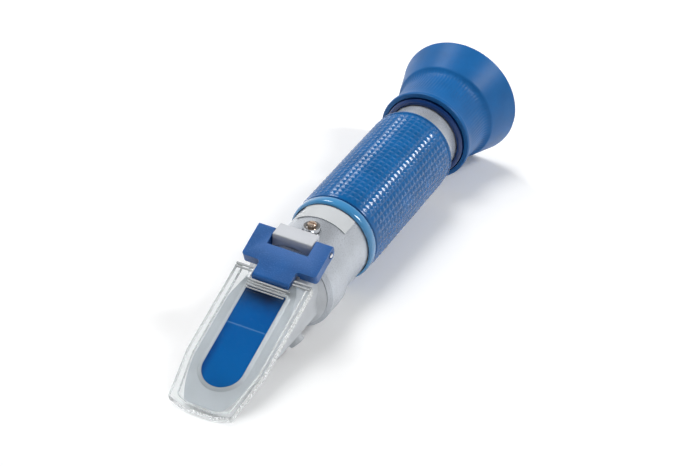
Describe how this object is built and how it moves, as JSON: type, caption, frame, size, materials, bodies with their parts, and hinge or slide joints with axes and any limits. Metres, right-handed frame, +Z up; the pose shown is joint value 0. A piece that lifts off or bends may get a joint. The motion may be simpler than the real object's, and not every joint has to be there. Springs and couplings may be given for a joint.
{
  "type": "handheld refractometer",
  "caption": "Handheld refractometer with hinged clear daylight plate, prism, calibration screw, knurled grip and focusing eyecup.",
  "frame": {"origin": "middle of the bounding box in X and Y, at the bottom of the eyecup's rim", "axes": "+Y along the optical axis from the prism to the eyecup, +Z up through the hinge lug and calibration screw, +X to the right"},
  "size_m": [0.04, 0.1746, 0.04],
  "materials": {
    "tube_silver": "satin",
    "lug_silver": "satin",
    "pin_steel": "polished",
    "head_silver": "satin",
    "screw_steel": "satin",
    "prism_glass": "gloss",
    "seal_rubber": "matte",
    "label_plate_finish": "satin",
    "grip_collar_finish": "gloss",
    "rubber_grip_finish": "matte",
    "bimetal_strip_finish": "satin",
    "strip_clamp_finish": "satin",
    "field_stop_finish": "matte",
    "reticle_ring_finish": "matte",
    "reticle_glass_finish": "gloss",
    "key_steel": "satin",
    "bush_chrome": "polished",
    "holder_blue": "satin",
    "plate_clear": "gloss",
    "screw_brass": "satin",
    "carrier_black": "matte",
    "objective_lens_finish": "gloss",
    "barrel_black": "matte",
    "field_lens_finish": "gloss",
    "lens_spacer_finish": "matte",
    "eye_lens_finish": "gloss",
    "lens_retainer_finish": "satin",
    "focus_ring_finish": "gloss",
    "friction_ring_finish": "matte",
    "ring_cap_finish": "satin",
    "rubber_eyecup_finish": "satin"
  },
  "bodies": {
    "body": {"body_tube": "tube_silver", "hinge_lug": "lug_silver", "hinge_pin": "pin_steel", "prism_head": "head_silver", "foot_screw_right": "screw_steel", "foot_screw_left": "screw_steel", "main_prism": "prism_glass", "prism_seal": "seal_rubber", "label_plate": "label_plate_finish", "grip_collar": "grip_collar_finish", "rubber_grip": "rubber_grip_finish", "bimetal_strip": "bimetal_strip_finish", "strip_clamp": "strip_clamp_finish", "field_stop": "field_stop_finish", "reticle_ring": "reticle_ring_finish", "reticle_glass": "reticle_glass_finish", "key_pin": "key_steel", "screw_bush": "bush_chrome"},
    "cover": {"cover_holder": "holder_blue", "daylight_plate": "plate_clear"},
    "adjuster": {"calibration_screw": "screw_brass"},
    "objective": {"objective_carrier": "carrier_black", "objective_lens": "objective_lens_finish"},
    "eyepiece": {"lens_barrel": "barrel_black", "field_lens": "field_lens_finish", "lens_spacer": "lens_spacer_finish", "eye_lens": "eye_lens_finish", "lens_retainer": "lens_retainer_finish"},
    "focus": {"focus_ring": "focus_ring_finish", "friction_ring": "friction_ring_finish", "ring_cap": "ring_cap_finish", "rubber_eyecup": "rubber_eyecup_finish"}
  },
  "joints": [
    {"name": "cover_hinge", "type": "hinge", "parent": "body", "child": "cover", "pos_m": [0, -0.03096, 0.03453], "axis": [-1, 0, 0], "range_deg": [0, 105]},
    {"name": "calibration_turn", "type": "hinge", "parent": "body", "child": "adjuster", "pos_m": [0, -0.01949, 0.0326], "axis": [0, 0, 1], "range_deg": [-271, 271]},
    {"name": "objective_shift", "type": "slide", "parent": "body", "child": "objective", "axis": [0, 0, 1], "range_m": [-0.000375, 0.000375]},
    {"name": "focus_slide", "type": "slide", "parent": "body", "child": "eyepiece", "axis": [0, 1, 0], "range_m": [-0.00201, 0.00201]},
    {"name": "focus_turn", "type": "hinge", "parent": "eyepiece", "child": "focus", "pos_m": [0, 0.07111, 0.02], "axis": [0, 1, 0], "range_deg": [-180, 180]}
  ],
  "couplings": [
    {"joint": "calibration_turn", "follows": "objective_shift", "rad_per_m": 12566},
    {"joint": "focus_slide", "follows": "focus_turn", "m_per_rad": 0.00063662}
  ]
}
